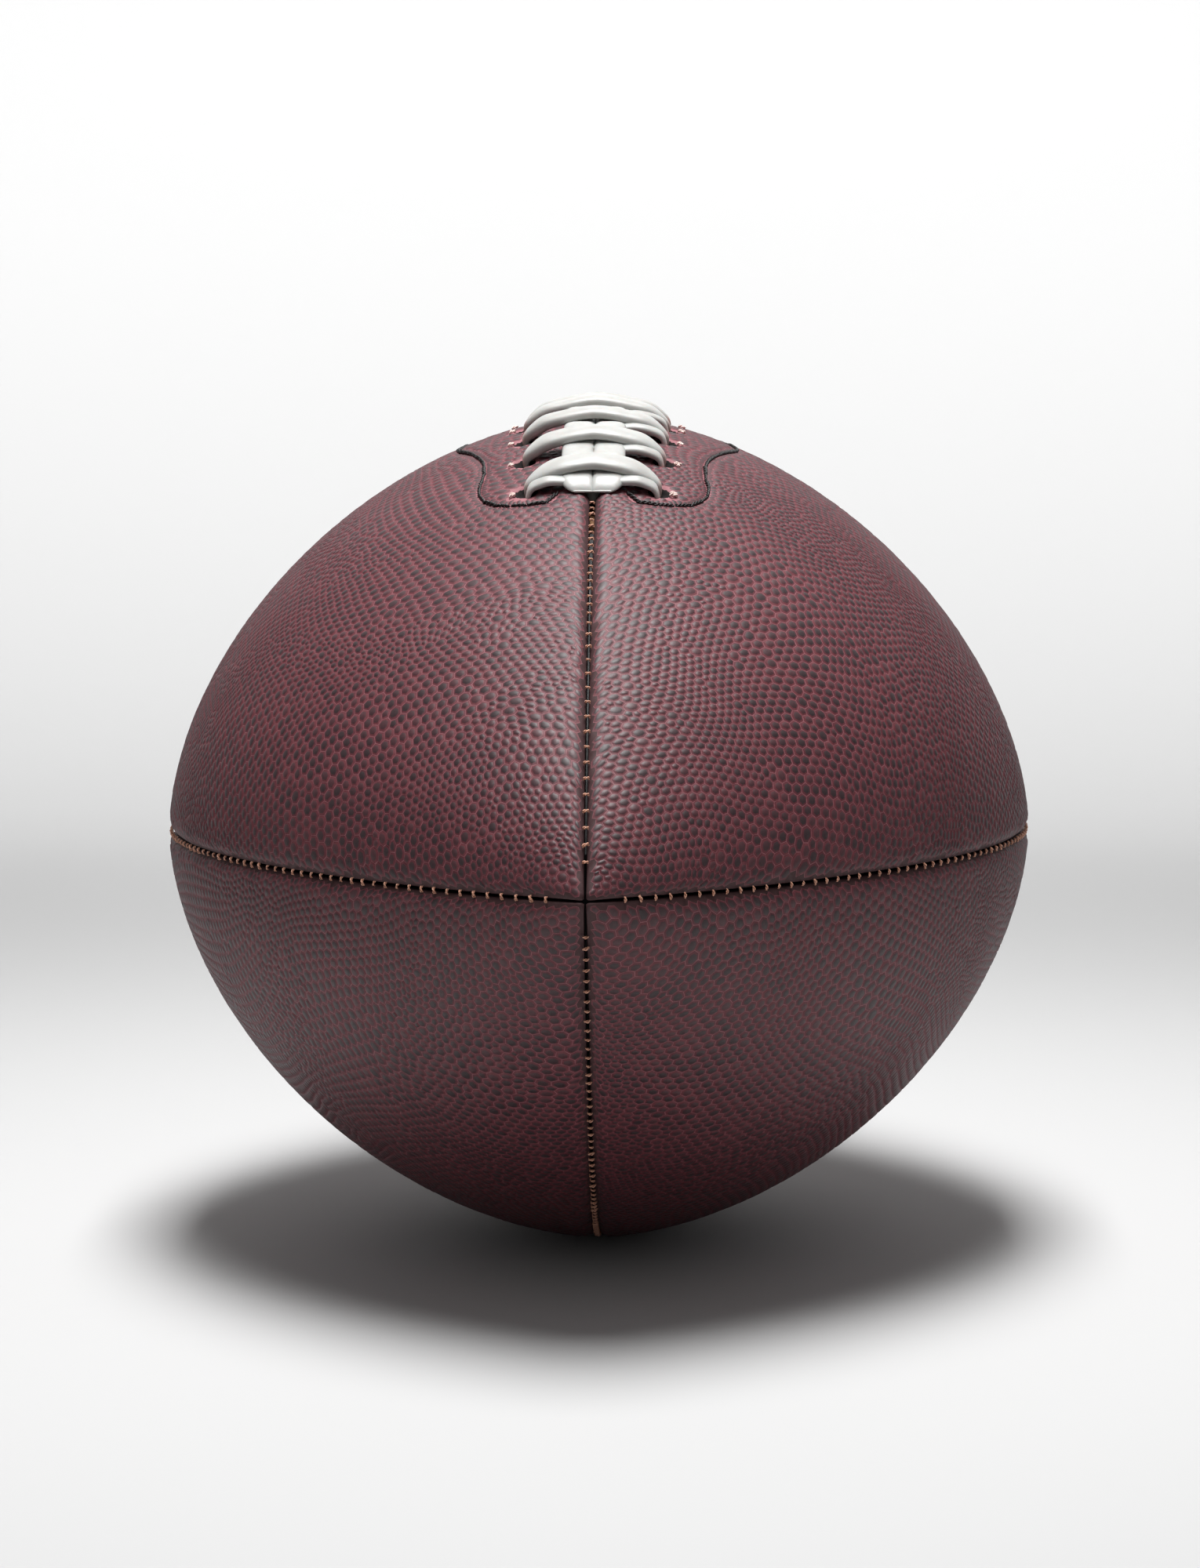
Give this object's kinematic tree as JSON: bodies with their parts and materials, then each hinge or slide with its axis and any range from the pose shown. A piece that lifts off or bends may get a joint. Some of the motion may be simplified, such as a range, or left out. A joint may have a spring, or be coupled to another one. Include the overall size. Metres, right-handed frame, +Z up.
{
  "type": "gridiron football",
  "caption": "Pointed four-panel leather ball with pebbled grain, sewn seams, a laced top opening and an inflation valve.",
  "frame": {"origin": "the point on the bottom seam that the ball rests on, midway along its length", "axes": "+Z up through the laces, Y along the ball from nose to nose (the nose nearest the viewer is at -Y), +X to the right seen from -Y"},
  "size_m": [0.1792, 0.2834, 0.1759],
  "materials": {
    "leather": "pebbled, dark brown with reddish valleys",
    "lining": "woven cotton",
    "facing": "smooth split leather",
    "bladder": "matt",
    "valve": "matt",
    "lace": "white, soft and slightly glossy",
    "seam_thread": "waxed tan thread",
    "black_thread": "thick black thread",
    "white_thread": "off-white thread"
  },
  "bodies": {
    "root": {"panel_upper_right": "leather", "panel_upper_left": "leather", "panel_lower_right": "leather", "panel_lower_left": "leather", "lining_upper_right": "lining", "lining_upper_left": "lining", "lining_lower_right": "lining", "lining_lower_left": "lining", "facing_right": "facing", "facing_left": "facing", "tongue": "facing", "bladder": "bladder", "valve_neck": "valve", "valve_core": "valve", "valve_patch": "bladder", "lace_crossbars": "lace", "lace_spine": "lace", "lace_inner_runs": "lace", "lace_ends": "lace", "seam_thread_top": "seam_thread", "seam_thread_bottom": "seam_thread", "seam_thread_left": "seam_thread", "seam_thread_right": "seam_thread", "facing_stitch_right": "black_thread", "facing_stitch_left": "black_thread", "lace_tacks": "white_thread"}
  },
  "joints": []
}
